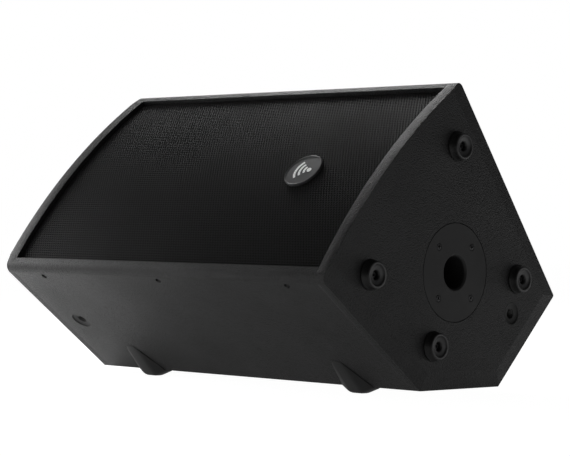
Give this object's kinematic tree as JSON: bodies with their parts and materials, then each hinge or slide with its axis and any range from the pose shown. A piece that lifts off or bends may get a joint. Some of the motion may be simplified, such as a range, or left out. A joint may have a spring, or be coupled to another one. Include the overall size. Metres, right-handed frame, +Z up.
{
  "type": "stage monitor wedge",
  "caption": "Active two-way loudspeaker cabinet lying as a floor monitor, with curved perforated grille, pole socket, rubber feet, rigging threads and recessed handle.",
  "frame": {"origin": "on the floor plane, under the middle of the overall length and depth", "axes": "+X along the cabinet towards the end with the pole socket and rubber feet, +Y to the rear, +Z up; the grille faces -Y and +Z at 45 degrees"},
  "size_m": [0.533, 0.3924, 0.3424],
  "materials": {
    "textured_paint": "rough textured black paint on plywood",
    "plywood": "bare birch plywood, dark painted face on the baffle",
    "lining": "polyester wadding",
    "grille_steel": "powder-coated perforated steel",
    "foam": "open-cell acoustic foam",
    "black_screws": "black oxide",
    "badge_plastic": "satin grey",
    "badge_white": "white",
    "rubber": "moulded rubber",
    "socket_plastic": "fine-grained nylon",
    "insert_steel": "black zinc",
    "handle_plastic": "moulded",
    "grip_rubber": "soft-touch sleeve",
    "cast_frame": "black painted casting",
    "ferrite": "sintered ferrite",
    "driver_steel": "zinc plated",
    "cone_paper": "treated pulp",
    "spider_cloth": "impregnated cotton",
    "coil_copper": "enamelled winding",
    "horn_plastic": "moulded",
    "diaphragm_film": "thin dome",
    "amp_metal": "black powder coat",
    "heat_sink_metal": "black anodised",
    "circuit_board": "green solder mask",
    "transformer_wrap": "yellow tape over copper",
    "capacitor_sleeve": "shrink sleeve",
    "control_plastic": "satin",
    "pot_metal": "bright",
    "light_lens": "translucent"
  },
  "bodies": {
    "cabinet": {"amp_board": "circuit_board", "amp_gasket": "rubber", "amp_panel": "amp_metal", "amp_screws": "black_screws", "badge_plate": "badge_plastic", "badge_sign": "badge_white", "baffle": "plywood", "baffle_battens": "plywood", "boost_switch": "control_plastic", "capacitors": "capacitor_sleeve", "cross_brace": "plywood", "damping_lining": "lining", "end_feet": "rubber", "end_foot_screws": "black_screws", "far_end_panel": "textured_paint", "floor_fins": "rubber", "floor_wall": "textured_paint", "front_side_wall": "textured_paint", "grille": "grille_steel", "grille_foam": "foam", "grille_screws": "black_screws", "handle_cup": "handle_plastic", "handle_grip": "grip_rubber", "handle_screws": "black_screws", "heat_sink": "heat_sink_metal", "hf_driver_body": "driver_steel", "hf_rear_cap": "driver_steel", "horn": "horn_plastic", "horn_screws": "black_screws", "input_socket": "control_plastic", "link_socket": "control_plastic", "mains_inlet": "control_plastic", "near_end_panel": "textured_paint", "pole_socket": "socket_plastic", "pole_socket_screws": "black_screws", "port_tubes": "horn_plastic", "power_transformer": "transformer_wrap", "rear_wall": "textured_paint", "rigging_dishes": "insert_steel", "rigging_inserts": "insert_steel", "rocker_frame": "control_plastic", "status_lights": "light_lens", "top_side_wall": "textured_paint", "volume_pot": "pot_metal", "woofer_back_plate": "driver_steel", "woofer_basket": "cast_frame", "woofer_gasket": "rubber", "woofer_magnet": "ferrite", "woofer_screws": "black_screws", "woofer_spider": "spider_cloth", "woofer_surround": "rubber", "woofer_top_plate": "driver_steel"},
    "woofer_motion": {"woofer_cone": "cone_paper", "woofer_dust_cap": "cone_paper", "woofer_voice_coil": "coil_copper"},
    "hf_diaphragm": {"hf_diaphragm": "diaphragm_film"},
    "volume_knob": {"volume_knob": "control_plastic"},
    "boost_button": {"boost_button": "control_plastic"},
    "power_rocker": {"power_rocker": "control_plastic"},
    "input_latch": {"input_latch": "control_plastic"}
  },
  "joints": [
    {"name": "woofer_excursion", "type": "slide", "parent": "cabinet", "child": "woofer_motion", "axis": [0, -0.7071, 0.7071], "range_m": [-0.005, 0.005], "stiffness_N_per_m": 3500, "deforming": ["woofer_surround", "woofer_spider"]},
    {"name": "diaphragm_excursion", "type": "slide", "parent": "cabinet", "child": "hf_diaphragm", "axis": [0, -0.7071, 0.7071], "range_m": [-0.0004, 0.0004], "stiffness_N_per_m": 5000},
    {"name": "volume_turn", "type": "hinge", "parent": "cabinet", "child": "volume_knob", "pos_m": [0.1085, 0.13106, 0.04245], "axis": [0, 0.7071, -0.7071], "range_deg": [-150, 150]},
    {"name": "boost_press", "type": "slide", "parent": "cabinet", "child": "boost_button", "axis": [0, 0.7071, -0.7071], "range_m": [-0.0025, 0], "stiffness_N_per_m": 400},
    {"name": "power_rock", "type": "hinge", "parent": "cabinet", "child": "power_rocker", "pos_m": [0.0435, 0.16642, 0.08063], "axis": [0, -0.7071, -0.7071], "range_deg": [-16, 0]},
    {"name": "latch_press", "type": "slide", "parent": "cabinet", "child": "input_latch", "axis": [0, 0.7071, -0.7071], "range_m": [-0.002, 0], "stiffness_N_per_m": 600}
  ]
}
